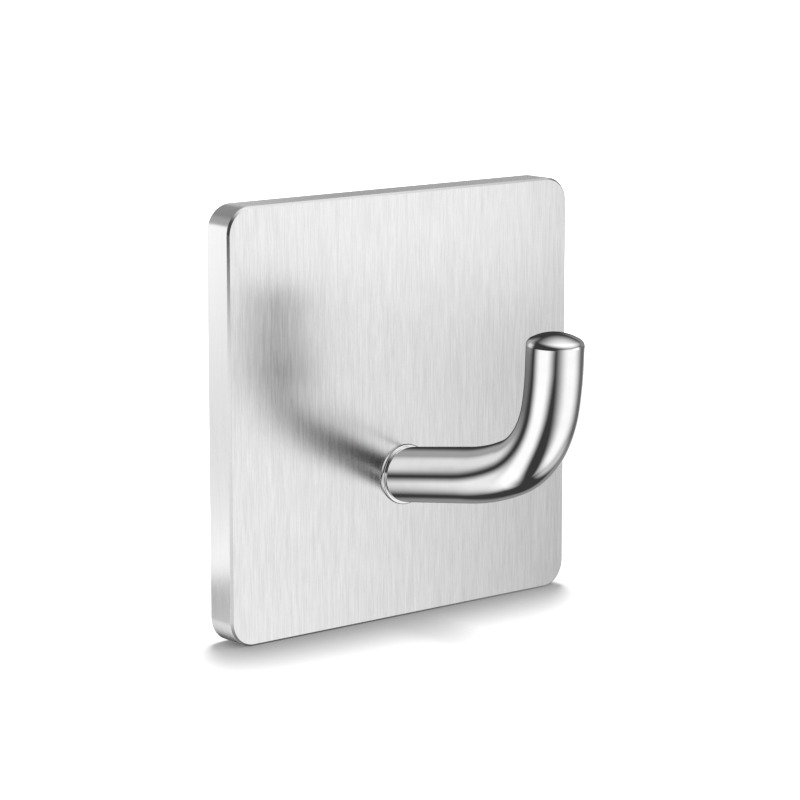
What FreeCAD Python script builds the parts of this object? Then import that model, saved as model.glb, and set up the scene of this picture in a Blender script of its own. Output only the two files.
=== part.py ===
import FreeCAD, Part
import os
import Sketcher

# An adhesive wall hook: a square plate, a bent bar screwed to it from behind, and a foam mounting pad.
# The origin is the centre of the wall side. The wall is at Y = 0, the hook points to -Y and +Z is up.

driving_sizes = {
    # plate
    "plate_side": 45.0,
    "plate_thickness": 3.7,
    "plate_corner_radius": 2.8,
    "front_edge_bevel": 0.22,
    "rear_edge_bevel": 0.15,
    "pocket_rim": 1.9,
    "pocket_depth": 0.6,
    "pocket_corner_radius": 1.8,
    # mounting pad
    "pad_clearance": 0.2,
    "film_thickness": 0.1,
    "foam_thickness": 0.8,
    # release liner
    "liner_thickness": 0.12,
    "tab_width": 12.0,
    "tab_length": 1.6,
    "tab_corner_radius": 1.2,
    # bent bar
    "bar_diameter": 5.8,
    "bar_drop": 7.2,
    "root_angle": 8.9,
    "root_length": 10.5,
    "sweep_radius": 27.0,
    "sweep_angle": 14.5,
    "bend_radius": 9.45,
    "bend_angle": 55.1,
    "leg_radius": 25.0,
    "leg_angle": 9.1,
    "tip_length": 2.4,
    "crown_height": 1.35,
    "crown_edge_radius": 0.8,
    # ring at the root of the bar
    "collar_diameter": 6.36,
    "collar_thickness": 0.4,
    "collar_edge_radius": 0.15,
    # keyed spigot behind the bar's shoulder
    "spigot_diameter": 4.4,
    "spigot_flat_width": 3.8,
    "spigot_depth": 1.0,
    "spigot_clearance": 0.03,
    "spigot_end_gap": 0.1,
    # countersunk screw
    "thread_diameter": 3.0,
    "thread_clearance": 0.02,
    "shank_clearance": 0.2,
    "head_diameter": 5.5,
    "head_land": 0.15,
    "head_recess": 0.05,
    "screw_length": 6.0,
    "screw_end_bevel": 0.3,
    "socket_width": 2.0,
    "socket_depth": 1.1,
    "tapped_reach": 1.0,
    "drill_half_angle": 59.0,
}

# Depths count from the wall towards the hook's front, which is along -Y.
derived_sizes = {
    "pad_depth": "sizes.liner_thickness",
    "foam_depth": "pad_depth + sizes.film_thickness",
    "pocket_floor_depth": "foam_depth + sizes.foam_thickness + sizes.film_thickness",
    "rim_depth": "pocket_floor_depth - sizes.pocket_depth",
    "front_depth": "rim_depth + sizes.plate_thickness",
    "shoulder_depth": "front_depth + sizes.collar_thickness",
    "screw_head_depth": "pocket_floor_depth + sizes.head_recess",
    "pocket_side": "sizes.plate_side - 2 * sizes.pocket_rim",
    "pad_side": "pocket_side - 2 * sizes.pad_clearance",
    "pad_corner_radius": "sizes.pocket_corner_radius - sizes.pad_clearance",
    "bar_radius": "sizes.bar_diameter / 2",
    "root_overrun": "bar_radius * tan(sizes.root_angle) + sizes.collar_thickness",
    "sweep_lean": "sizes.root_angle + sizes.sweep_angle",
    "bend_lean": "sweep_lean + sizes.bend_angle",
    "tip_lean": "bend_lean + sizes.leg_angle",
    "root_reach": "sizes.root_length * cos(sizes.root_angle)",
    "root_rise": "sizes.root_length * sin(sizes.root_angle)",
    "sweep_reach": "root_reach + sizes.sweep_radius * (sin(sweep_lean) - sin(sizes.root_angle))",
    "sweep_rise": "root_rise + sizes.sweep_radius * (cos(sizes.root_angle) - cos(sweep_lean))",
    "bend_reach": "sweep_reach + sizes.bend_radius * (sin(bend_lean) - sin(sweep_lean))",
    "bend_rise": "sweep_rise + sizes.bend_radius * (cos(sweep_lean) - cos(bend_lean))",
    "leg_reach": "bend_reach + sizes.leg_radius * (sin(tip_lean) - sin(bend_lean))",
    "leg_rise": "bend_rise + sizes.leg_radius * (cos(bend_lean) - cos(tip_lean))",
    "tip_reach": "leg_reach + sizes.tip_length * cos(tip_lean)",
    "tip_rise": "leg_rise + sizes.tip_length * sin(tip_lean)",
    "rim_centre": "bar_radius - sizes.crown_edge_radius",
    "crown_radius": "(sizes.crown_height ^ 2 + rim_centre ^ 2 - sizes.crown_edge_radius ^ 2)"
                    " / (2 * (sizes.crown_height - sizes.crown_edge_radius))",
    "thread_radius": "sizes.thread_diameter / 2",
    "head_radius": "sizes.head_diameter / 2",
    "cone_length": "head_radius - thread_radius",
    "sink_radius": "head_radius + sizes.head_land + sizes.head_recess",
    "shank_hole_radius": "thread_radius + sizes.shank_clearance",
    "tapped_radius": "thread_radius + sizes.thread_clearance",
    "tapped_depth": "screw_head_depth + sizes.screw_length + sizes.tapped_reach - shoulder_depth",
    "spigot_length": "sizes.collar_thickness + sizes.spigot_depth",
}


# ---- document and sheets ----

doc = FreeCAD.newDocument("adhesive_wall_hook")


def fill_sheet(name, rows, lead):
    sheet = doc.addObject("Spreadsheet::Sheet", name)
    for row, (alias, value) in enumerate(rows.items(), 1):
        sheet.set(f"A{row}", alias)
        sheet.setAlias(f"B{row}", alias)
        sheet.set(f"B{row}", f"{lead}{value}")
    doc.recompute()
    return sheet


sizes = fill_sheet("sizes", driving_sizes, "")
derived = fill_sheet("derived", derived_sizes, "=")


# ---- helpers ----

def size_of(expression):
    """The present value of an expression, in millimetres or degrees."""
    return float(sizes.evalExpression(expression))


def new_body(label, depth, height="0"):
    """A body whose own origin lies on the hook's depth and height given as expressions."""
    body = doc.addObject("PartDesign::Body", label)
    body.Label = label
    body.setExpression("Placement.Base.y", f"-({depth})")
    body.setExpression("Placement.Base.z", height)
    return body


def new_sketch(body, name, role, **offsets):
    """A sketch on one of the body's origin planes, moved in that plane's own x, y and z."""
    sketch = body.newObject("Sketcher::SketchObject", name)
    plane = next(item for item in body.Origin.OriginFeatures if item.Role == role)
    sketch.AttachmentSupport = [(plane, "")]
    sketch.MapMode = "FlatFace"
    for axis, expression in offsets.items():
        sketch.setExpression(f"AttachmentOffset.Base.{axis}", expression)
    return sketch


def hold(sketch, name, expression, *constraint):
    """A named constraint whose value follows an expression."""
    kind, *rest = constraint
    value = size_of(expression)
    if kind == "Angle":
        value = FreeCAD.Units.Quantity(value, FreeCAD.Units.Angle).getValueAs("rad").Value
    index = sketch.addConstraint(Sketcher.Constraint(kind, *rest, value))
    sketch.renameConstraint(index, name)
    sketch.setExpression(f"Constraints.{name}", expression)


def rounded_square(sketch, side, corner_radius):
    """A square with tangent corner arcs, centred on the sketch's origin."""
    half = size_of(side) / 2
    radius = size_of(corner_radius)
    flat = half - radius
    corners = [(flat, -flat), (flat, flat), (-flat, flat), (-flat, -flat)]
    for number, (x, y) in enumerate(corners):
        quarters = FreeCAD.Rotation(FreeCAD.Vector(0, 0, 1), 90 * number)
        start = quarters.multVec(FreeCAD.Vector(-flat, -half, 0))
        end = quarters.multVec(FreeCAD.Vector(flat, -half, 0))
        ring = Part.Circle(FreeCAD.Vector(x, y, 0), FreeCAD.Vector(0, 0, 1), radius)
        first = FreeCAD.Units.parseQuantity(f"{90 * number - 90} deg").getValueAs("rad").Value
        last = FreeCAD.Units.parseQuantity(f"{90 * number} deg").getValueAs("rad").Value
        sketch.addGeometry(Part.LineSegment(start, end))
        sketch.addGeometry(Part.ArcOfCircle(ring, first, last))
    sides = [0, 2, 4, 6]
    arcs = [1, 3, 5, 7]
    for side_line, arc in zip(sides, arcs):
        sketch.addConstraint(Sketcher.Constraint("Tangent", side_line, 2, arc, 1))
        sketch.addConstraint(Sketcher.Constraint("Tangent", arc, 2, (arc + 1) % 8, 1))
    for bottom_or_top in (0, 4):
        sketch.addConstraint(Sketcher.Constraint("Horizontal", bottom_or_top))
    for right_or_left in (2, 6):
        sketch.addConstraint(Sketcher.Constraint("Vertical", right_or_left))
    for arc in arcs[1:]:
        sketch.addConstraint(Sketcher.Constraint("Equal", arcs[0], arc))
    sketch.addConstraint(Sketcher.Constraint("Symmetric", 1, 3, 5, 3, -1, 1))
    hold(sketch, "corner", corner_radius, "Radius", 1)
    hold(sketch, "width", side, "DistanceX", 6, 1, 2, 1)
    hold(sketch, "height", side, "DistanceY", 0, 1, 4, 1)


def profile(sketch, corners):
    """A closed outline of straight lines through corners given as pairs of expressions."""
    points = [FreeCAD.Vector(size_of(x), size_of(y), 0) for x, y in corners]
    count = len(points)
    for number, point in enumerate(points):
        sketch.addGeometry(Part.LineSegment(point, points[(number + 1) % count]))
    for number in range(count):
        sketch.addConstraint(Sketcher.Constraint("Coincident", number, 2, (number + 1) % count, 1))
    for number, (x, y) in enumerate(corners):
        hold(sketch, f"x{number}", x, "DistanceX", -1, 1, number, 1)
        hold(sketch, f"y{number}", y, "DistanceY", -1, 1, number, 1)


def circle(sketch, radius):
    centre = FreeCAD.Vector(0, 0, 0)
    number = sketch.addGeometry(Part.Circle(centre, FreeCAD.Vector(0, 0, 1), size_of(radius)))
    sketch.addConstraint(Sketcher.Constraint("Coincident", number, 3, -1, 1))
    hold(sketch, f"radius{number}", radius, "Radius", number)


def flatted_circle(sketch, radius, half_width):
    """A round with two upright flats, so that what it holds can't turn."""
    full = size_of(radius)
    flat_x = size_of(half_width)
    flat_y = (full ** 2 - flat_x ** 2) ** 0.5
    arc = Part.Circle(FreeCAD.Vector(0, 0, 0), FreeCAD.Vector(0, 0, 1), full)
    low = FreeCAD.Vector(flat_x, -flat_y, 0)
    high = FreeCAD.Vector(flat_x, flat_y, 0)
    sketch.addGeometry(Part.LineSegment(low, high))
    sketch.addGeometry(Part.ArcOfCircle(arc, arc.parameter(high), arc.parameter(-low)))
    sketch.addGeometry(Part.LineSegment(-low, -high))
    sketch.addGeometry(Part.ArcOfCircle(arc, arc.parameter(-high), arc.parameter(low)))
    for number in range(4):
        sketch.addConstraint(Sketcher.Constraint("Coincident", number, 2, (number + 1) % 4, 1))
    for flat in (0, 2):
        sketch.addConstraint(Sketcher.Constraint("Vertical", flat))
    for round_side in (1, 3):
        sketch.addConstraint(Sketcher.Constraint("Coincident", round_side, 3, -1, 1))
    hold(sketch, "radius", radius, "Radius", 1)
    sketch.addConstraint(Sketcher.Constraint("Equal", 1, 3))
    hold(sketch, "right", half_width, "DistanceX", -1, 1, 0, 1)
    hold(sketch, "left", half_width, "DistanceX", 2, 1, -1, 1)


def feature(body, kind, name, sketch, **settings):
    made = body.newObject(f"PartDesign::{kind}", name)
    made.Profile = sketch
    for key, value in settings.items():
        setattr(made, key, value)
    return made


def pad(body, name, sketch, length, **settings):
    made = feature(body, "Pad", name, sketch, **settings)
    made.setExpression("Length", length)
    doc.recompute()
    return made


def cut(body, kind, name, sketch, length=None, **settings):
    """A pocket or groove that has to take material away."""
    before = body.Shape.Volume
    made = feature(body, kind, name, sketch, **settings)
    if length:
        made.setExpression("Length", length)
    doc.recompute()
    if not made.Shape.Volume < before:
        raise RuntimeError(f"{body.Label}: {name} takes nothing away")
    return made


def turn(body, name, sketch):
    made = feature(body, "Revolution", name, sketch, ReferenceAxis=(sketch, ["H_Axis"]), Angle=360)
    doc.recompute()
    return made


def edge_names(base, wanted):
    return [f"Edge{number}" for number, edge in enumerate(base.Shape.Edges, 1) if wanted(edge)]


def dress(body, kind, name, base, size_name, expression, wanted):
    """A fillet or chamfer on the edges of the base that fit the test."""
    made = body.newObject(f"PartDesign::{kind}", name)
    made.Base = (base, edge_names(base, wanted))
    made.setExpression(size_name, expression)
    doc.recompute()
    return made


touch = 1e-4


def lies_at(depth):
    """A test for edges that lie wholly in the plane at that depth of the body."""
    plane = -size_of(depth)

    def wanted(edge):
        box = edge.BoundBox
        return abs(box.YMin - plane) < touch and abs(box.YMax - plane) < touch

    return wanted


# ---- face plate ----

def make_face_plate():
    body = new_body("face_plate", "derived.rim_depth")
    outline = new_sketch(body, "plate_outline", "XZ_Plane")
    rounded_square(outline, "sizes.plate_side", "sizes.plate_corner_radius")
    slab = pad(body, "slab", outline, "sizes.plate_thickness")
    front = dress(body, "Chamfer", "front_bevel", slab, "Size", "sizes.front_edge_bevel",
                  lies_at("sizes.plate_thickness"))
    dress(body, "Chamfer", "rear_bevel", front, "Size", "sizes.rear_edge_bevel", lies_at("0"))

    recess = new_sketch(body, "pad_pocket_outline", "XZ_Plane")
    rounded_square(recess, "derived.pocket_side", "sizes.pocket_corner_radius")
    cut(body, "Pocket", "pad_pocket", recess, "sizes.pocket_depth", Reversed=True)

    seat = new_sketch(body, "spigot_seat_outline", "XZ_Plane",
                      y="-sizes.bar_drop", z="sizes.plate_thickness")
    flatted_circle(seat, "sizes.spigot_diameter / 2 + sizes.spigot_clearance",
                   "sizes.spigot_flat_width / 2 + sizes.spigot_clearance")
    cut(body, "Pocket", "spigot_seat", seat, "sizes.spigot_depth + sizes.spigot_end_gap")

    sink = new_sketch(body, "screw_sink_outline", "YZ_Plane", y="-sizes.bar_drop")
    cone_end = "-sizes.pocket_depth - derived.sink_radius + derived.shank_hole_radius"
    profile(sink, [
        ("-sizes.pocket_depth", "0"),
        ("-sizes.pocket_depth", "derived.sink_radius"),
        (cone_end, "derived.shank_hole_radius"),
        ("-sizes.plate_thickness", "derived.shank_hole_radius"),
        ("-sizes.plate_thickness", "0"),
    ])
    cut(body, "Groove", "screw_sink", sink, ReferenceAxis=(sink, ["H_Axis"]), Angle=360)
    return body


# ---- bent bar ----

def crown(sketch):
    """Half of the tip's outline, its axis along the sketch's x: a low dome and a rounded rim."""
    rise = size_of("sizes.crown_height")
    foot = size_of("derived.bar_radius")
    rim_radius = size_of("sizes.crown_edge_radius")
    dome_radius = size_of("derived.crown_radius")
    normal = FreeCAD.Vector(0, 0, 1)
    base = FreeCAD.Vector(0, 0, 0)
    top = FreeCAD.Vector(rise, 0, 0)
    side = FreeCAD.Vector(0, foot, 0)
    dome_centre = FreeCAD.Vector(rise - dome_radius, 0, 0)
    rim_centre = FreeCAD.Vector(0, foot - rim_radius, 0)
    dome = Part.Circle(dome_centre, normal, dome_radius)
    rim = Part.Circle(rim_centre, normal, rim_radius)
    meet = dome.parameter(rim_centre)
    sketch.addGeometry(Part.LineSegment(base, top))
    sketch.addGeometry(Part.ArcOfCircle(dome, 0, meet))
    sketch.addGeometry(Part.ArcOfCircle(rim, meet, rim.parameter(side)))
    sketch.addGeometry(Part.LineSegment(side, base))
    sketch.addConstraint(Sketcher.Constraint("Coincident", 0, 1, -1, 1))
    sketch.addConstraint(Sketcher.Constraint("Coincident", 0, 2, 1, 1))
    sketch.addConstraint(Sketcher.Constraint("Tangent", 1, 2, 2, 1))
    sketch.addConstraint(Sketcher.Constraint("Coincident", 2, 2, 3, 1))
    sketch.addConstraint(Sketcher.Constraint("Coincident", 3, 2, 0, 1))
    sketch.addConstraint(Sketcher.Constraint("Horizontal", 0))
    sketch.addConstraint(Sketcher.Constraint("Vertical", 3))
    sketch.addConstraint(Sketcher.Constraint("PointOnObject", 1, 3, -1))
    sketch.addConstraint(Sketcher.Constraint("Vertical", 2, 3, 2, 2))
    hold(sketch, "rise", "sizes.crown_height", "DistanceX", 0, 1, 0, 2)
    hold(sketch, "foot", "derived.bar_radius", "DistanceY", 3, 2, 3, 1)
    hold(sketch, "rim", "sizes.crown_edge_radius", "Radius", 2)


def bar_path(sketch):
    """A rising root, a wide sweep, a tight bend, a bowed leg and a straight tip, each tangent to the next."""
    lean = size_of("sizes.root_angle")
    normal = FreeCAD.Vector(0, 0, 1)

    def inner_side(angle):
        return FreeCAD.Rotation(normal, -angle).multVec(FreeCAD.Vector(0, 1, 0))

    outward = FreeCAD.Rotation(normal, -lean).multVec(FreeCAD.Vector(-1, 0, 0))
    reached = outward * size_of("sizes.root_length")
    sketch.addGeometry(Part.LineSegment(outward * -size_of("derived.root_overrun"), reached))
    hold(sketch, "start_depth", "derived.root_overrun * cos(sizes.root_angle)", "DistanceX", -1, 1, 0, 1)
    hold(sketch, "start_height", "-derived.root_overrun * sin(sizes.root_angle)", "DistanceY", -1, 1, 0, 1)
    hold(sketch, "root_depth", "-derived.root_reach", "DistanceX", -1, 1, 0, 2)
    hold(sketch, "root_height", "derived.root_rise", "DistanceY", -1, 1, 0, 2)
    for line, part in enumerate(["sweep", "bend", "leg"], start=1):
        radius = size_of(f"sizes.{part}_radius")
        centre = reached + inner_side(lean) * radius
        lean += size_of(f"sizes.{part}_angle")
        arc_end = centre - inner_side(lean) * radius
        ring = Part.Circle(centre, normal, radius)
        sketch.addGeometry(Part.ArcOfCircle(ring, ring.parameter(arc_end), ring.parameter(reached)))
        earlier_end = 2 if part == "sweep" else 1
        sketch.addConstraint(Sketcher.Constraint("Tangent", line - 1, earlier_end, line, 2))
        hold(sketch, part, f"sizes.{part}_radius", "Radius", line)
        hold(sketch, f"{part}_turn", f"sizes.{part}_angle", "Angle", line)
        reached = arc_end
    tip = FreeCAD.Vector(-size_of("derived.tip_reach"), size_of("derived.tip_rise"), 0)
    sketch.addGeometry(Part.LineSegment(reached, tip))
    sketch.addConstraint(Sketcher.Constraint("Tangent", 3, 1, 4, 1))
    hold(sketch, "tip", "sizes.tip_length", "Distance", 4)


def make_hook_bar():
    body = new_body("hook_bar", "derived.shoulder_depth", "-sizes.bar_drop")
    path = new_sketch(body, "bar_path", "YZ_Plane")
    bar_path(path)
    section = new_sketch(body, "bar_section", "XZ_Plane",
                         y="-derived.root_overrun * sin(sizes.root_angle)",
                         z="-derived.root_overrun * cos(sizes.root_angle)")
    tilt = FreeCAD.Rotation(FreeCAD.Vector(-1, 0, 0), size_of("sizes.root_angle"))
    section.AttachmentOffset = FreeCAD.Placement(section.AttachmentOffset.Base, tilt)
    section.setExpression("AttachmentOffset.Rotation.Angle", "sizes.root_angle")
    circle(section, "derived.bar_radius")
    doc.recompute()
    bar = feature(body, "AdditivePipe", "bent_bar", section, Spine=(path, []))
    doc.recompute()
    print(f"bar {bar.Shape.Volume:.2f} mm3, path x section "
          f"{path.Shape.Length * Part.Face(section.Shape).Area:.2f} mm3")

    shoulder = new_sketch(body, "shoulder_outline", "XZ_Plane")
    circle(shoulder, "sizes.bar_diameter")
    cut(body, "Pocket", "flat_shoulder", shoulder, "2 * derived.root_overrun")

    crown_outline = new_sketch(body, "crown_outline", "YZ_Plane",
                               x="-derived.tip_reach", y="derived.tip_rise")
    crown_outline.setExpression("AttachmentOffset.Rotation.Angle", "180 - derived.tip_lean")
    crown(crown_outline)
    turn(body, "crown", crown_outline)

    spigot = new_sketch(body, "spigot_outline", "XZ_Plane")
    flatted_circle(spigot, "sizes.spigot_diameter / 2", "sizes.spigot_flat_width / 2")
    pad(body, "spigot", spigot, "derived.spigot_length", Reversed=True)

    hole = new_sketch(body, "tapped_hole_outline", "YZ_Plane")
    profile(hole, [
        ("derived.spigot_length", "0"),
        ("derived.spigot_length", "derived.tapped_radius"),
        ("-derived.tapped_depth", "derived.tapped_radius"),
        ("-derived.tapped_depth - derived.tapped_radius / tan(sizes.drill_half_angle)", "0"),
    ])
    cut(body, "Groove", "tapped_hole", hole, ReferenceAxis=(hole, ["H_Axis"]), Angle=360)
    return body


# ---- ring at the root ----

def make_base_collar():
    body = new_body("base_collar", "derived.front_depth", "-sizes.bar_drop")
    outline = new_sketch(body, "collar_outline", "XZ_Plane")
    circle(outline, "sizes.collar_diameter / 2")
    circle(outline, "sizes.spigot_diameter / 2 + sizes.spigot_clearance")
    ring = pad(body, "ring", outline, "sizes.collar_thickness")
    outer = size_of("sizes.collar_diameter / 2")
    at_the_front = lies_at("sizes.collar_thickness")

    def front_outer(edge):
        return at_the_front(edge) and abs(edge.BoundBox.XMax - outer) < touch

    dress(body, "Fillet", "rounded_edge", ring, "Radius", "sizes.collar_edge_radius", front_outer)
    return body


# ---- screw from behind ----

def make_fixing_screw():
    body = new_body("fixing_screw", "derived.screw_head_depth", "-sizes.bar_drop")
    outline = new_sketch(body, "screw_outline", "YZ_Plane")
    cone_end = "-sizes.head_land - derived.cone_length"
    profile(outline, [
        ("0", "0"),
        ("0", "derived.head_radius"),
        ("-sizes.head_land", "derived.head_radius"),
        (cone_end, "derived.thread_radius"),
        ("-sizes.screw_length + sizes.screw_end_bevel", "derived.thread_radius"),
        ("-sizes.screw_length", "derived.thread_radius - sizes.screw_end_bevel"),
        ("-sizes.screw_length", "0"),
    ])
    turn(body, "screw_shape", outline)
    socket = new_sketch(body, "socket_outline", "XZ_Plane")
    corner = "sizes.socket_width / 2 / cos(30)"
    profile(socket, [(f"{corner} * cos({60 * number})", f"{corner} * sin({60 * number})")
                     for number in range(6)])
    cut(body, "Pocket", "hex_socket", socket, "sizes.socket_depth", Reversed=True)
    return body


# ---- mounting pad and its liner ----

def make_layer(label, depth, thickness):
    body = new_body(label, depth)
    outline = new_sketch(body, "layer_outline", "XZ_Plane")
    rounded_square(outline, "derived.pad_side", "derived.pad_corner_radius")
    pad(body, "layer", outline, thickness)
    return body


def make_release_liner():
    body = make_layer("release_liner", "0", "sizes.liner_thickness")
    outline = new_sketch(body, "tab_outline", "XZ_Plane")
    tab_end = "-derived.pad_side / 2 - sizes.tab_length"
    tab_root = "-derived.pad_side / 2 + derived.pad_corner_radius"
    profile(outline, [
        ("-sizes.tab_width / 2", tab_end),
        ("sizes.tab_width / 2", tab_end),
        ("sizes.tab_width / 2", tab_root),
        ("-sizes.tab_width / 2", tab_root),
    ])
    tab = pad(body, "pull_tab", outline, "sizes.liner_thickness")
    lowest = size_of(tab_end)

    def outer_corner(edge):
        box = edge.BoundBox
        return box.YLength > touch and abs(box.ZMax - lowest) < touch

    dress(body, "Fillet", "tab_corners", tab, "Radius", "sizes.tab_corner_radius", outer_corner)
    return body


# ---- the whole hook ----

pieces = [
    make_face_plate(),
    make_hook_bar(),
    make_base_collar(),
    make_fixing_screw(),
    make_layer("front_adhesive_film", "derived.foam_depth + sizes.foam_thickness",
               "sizes.film_thickness"),
    make_layer("foam_core", "derived.foam_depth", "sizes.foam_thickness"),
    make_layer("rear_adhesive_film", "derived.pad_depth", "sizes.film_thickness"),
    make_release_liner(),
]
doc.recompute()

for item in doc.Objects:
    if "Invalid" in item.State or "Error" in item.State:
        raise RuntimeError(f"{item.Label} failed: {item.State}")
for piece in pieces:
    if piece.Shape.isNull() or not piece.Shape.isValid() or len(piece.Shape.Solids) != 1:
        raise RuntimeError(f"{piece.Label} isn't one valid solid")

os.makedirs("parts", exist_ok=True)
for piece in pieces:
    piece.Shape.exportStep(f"parts/{piece.Label}.step")
    box = piece.Shape.BoundBox
    print(f"{piece.Label}: {piece.Shape.Volume:.2f} mm3, x {box.XMin:.2f} to {box.XMax:.2f}, "
          f"y {box.YMin:.2f} to {box.YMax:.2f}, z {box.ZMin:.2f} to {box.ZMax:.2f}")
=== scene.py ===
import math

import bpy
import numpy as np
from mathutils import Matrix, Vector


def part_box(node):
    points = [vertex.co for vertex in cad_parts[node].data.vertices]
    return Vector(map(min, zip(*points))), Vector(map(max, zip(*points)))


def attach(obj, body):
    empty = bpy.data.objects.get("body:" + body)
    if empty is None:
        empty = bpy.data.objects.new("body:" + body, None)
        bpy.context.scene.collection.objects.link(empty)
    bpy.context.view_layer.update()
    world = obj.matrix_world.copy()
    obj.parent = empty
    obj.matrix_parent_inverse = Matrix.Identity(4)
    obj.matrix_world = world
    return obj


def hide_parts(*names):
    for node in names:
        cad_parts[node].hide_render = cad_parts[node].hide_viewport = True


# An adhesive wall hook: a brushed square plate, a polished bent bar screwed to it and a foam pad behind.
# The hook points to -Y, +Z is up and the wall is at Y = 0.

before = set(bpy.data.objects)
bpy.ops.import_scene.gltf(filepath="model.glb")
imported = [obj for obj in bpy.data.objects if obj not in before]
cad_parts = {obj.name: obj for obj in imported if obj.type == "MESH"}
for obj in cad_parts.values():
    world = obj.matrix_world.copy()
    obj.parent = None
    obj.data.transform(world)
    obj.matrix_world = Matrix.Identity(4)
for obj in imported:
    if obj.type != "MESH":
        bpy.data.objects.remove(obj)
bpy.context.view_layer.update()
print("frame loaded:", ", ".join(sorted(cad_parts)))

mm = 0.001   # sizes below are in millimetres, angles in degrees
hair = 1e-6  # a number smaller than this counts as nothing


def nodeSpan(node):  # low and high corner of a CAD node, in millimetres
    low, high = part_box(node)
    return np.array(low) / mm, np.array(high) / mm


plateLow, plateHigh = nodeSpan("face_plate")
collarLow, collarHigh = nodeSpan("base_collar")
screwLow, screwHigh = nodeSpan("fixing_screw")
linerLow, linerHigh = nodeSpan("release_liner")
axisHeight = (collarLow[2] + collarHigh[2]) / 2  # the bar's root, the collar and the screw lie at this height


# Surfaces from grids of points

def unit(vectors):
    return vectors / np.linalg.norm(vectors, axis=-1, keepdims=True)


def ringAngles(columns):
    return np.linspace(0, 2 * math.pi, columns, endpoint=False)


def softCorners(corners, radius, steps=4):
    # Each inner corner of a polyline becomes an arc of the radius, tangent to both of its sides.
    corners = np.asarray(corners, float)
    before = unit(corners[:-2] - corners[1:-1])
    after = unit(corners[2:] - corners[1:-1])
    half = np.arccos((before * after).sum(1)) / 2
    sweep = math.pi - 2 * half
    centre = corners[1:-1] + unit(before + after) * (radius / np.sin(half))[:, None]
    start = corners[1:-1] + before * (radius / np.tan(half))[:, None] - centre
    end = corners[1:-1] + after * (radius / np.tan(half))[:, None] - centre
    share = np.linspace(0, 1, steps + 1)
    ofStart = np.sin((1 - share) * sweep[:, None]) / np.sin(sweep)[:, None]
    ofEnd = np.sin(share * sweep[:, None]) / np.sin(sweep)[:, None]
    arcs = centre[:, None] + ofStart[..., None] * start[:, None] + ofEnd[..., None] * end[:, None]
    return np.concatenate([corners[:1], arcs.reshape(-1, 2), corners[-1:]])


def softLoop(corners, radius, steps=4):
    # A closed outline is opened at its first corner, with a neighbour added at each end.
    corners = np.asarray(corners, float)
    return softCorners(np.concatenate([corners[-1:], corners, corners[:1]]), radius, steps)[1:-1]


def squareRing(half, corner, arcSteps, sideSteps):
    # A rounded square: a quarter arc and a straight side, turned by 90 degrees four times.
    arc = np.linspace(0, math.pi / 2, arcSteps + 1)
    side = np.linspace(1, -1, sideSteps + 2)[1:-1]
    flat = half - corner
    quarter = np.concatenate([
        np.stack([flat + corner * np.cos(arc), flat + corner * np.sin(arc)], 1),
        np.stack([flat * side, np.full(sideSteps, half)], 1),
    ])
    turns = ringAngles(4)
    spin = np.array([[np.cos(turns), np.sin(turns)], [-np.sin(turns), np.cos(turns)]]).transpose(2, 0, 1)
    return (quarter @ spin).reshape(-1, 2)


def atDepth(rings, depths):
    # Flat rings of (x, z) points get their depth as y.
    rings = np.asarray(rings)
    depths = np.broadcast_to(np.asarray(depths, float)[..., None], rings.shape[:2])
    return np.stack([rings[..., 0], depths, rings[..., 1]], -1)


def between(first, last, shares):
    # Rings in a straight line from one ring to another, at the given shares of the way.
    return first + (last - first) * np.asarray(shares)[:, None, None]


def turned(rings, angles):
    # Rings about the bar's axis, which lies along Y. Each is given as its depth and its radius, which is
    # one number or one for each angle.
    depth = np.array([ring[0] for ring in rings])[:, None] + 0 * angles
    radius = np.array([ring[1] + 0 * angles for ring in rings])
    return np.stack([radius * np.cos(angles), depth, axisHeight + radius * np.sin(angles)], -1)


threadShape = {           # of the screw and of the tapped hole in the bar
    "pitch": 0.5,
    "ringsPerTurn": 12,
    "flankSlope": 1.35,   # above 1, so that roots and crests are flat
}


def threadRings(first, last, angles, root, crest):
    # A screw thread from one depth to another: the radius swings between root and crest in straight flanks,
    # once per pitch and once per turn.
    turns = abs(last - first) / threadShape["pitch"]
    depth = np.linspace(first, last, round(turns * threadShape["ringsPerTurn"]))
    phase = depth[:, None] / threadShape["pitch"] + angles / (2 * math.pi)
    wave = np.abs(2 * (phase % 1) - 1)
    swing = np.clip(threadShape["flankSlope"] * (wave - 0.5) + 0.5, 0, 1)
    return depth, root + (crest - root) * swing


def newObject(name, data):
    made = bpy.data.objects.new(name, data)
    bpy.context.scene.collection.objects.link(made)
    return made


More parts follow.
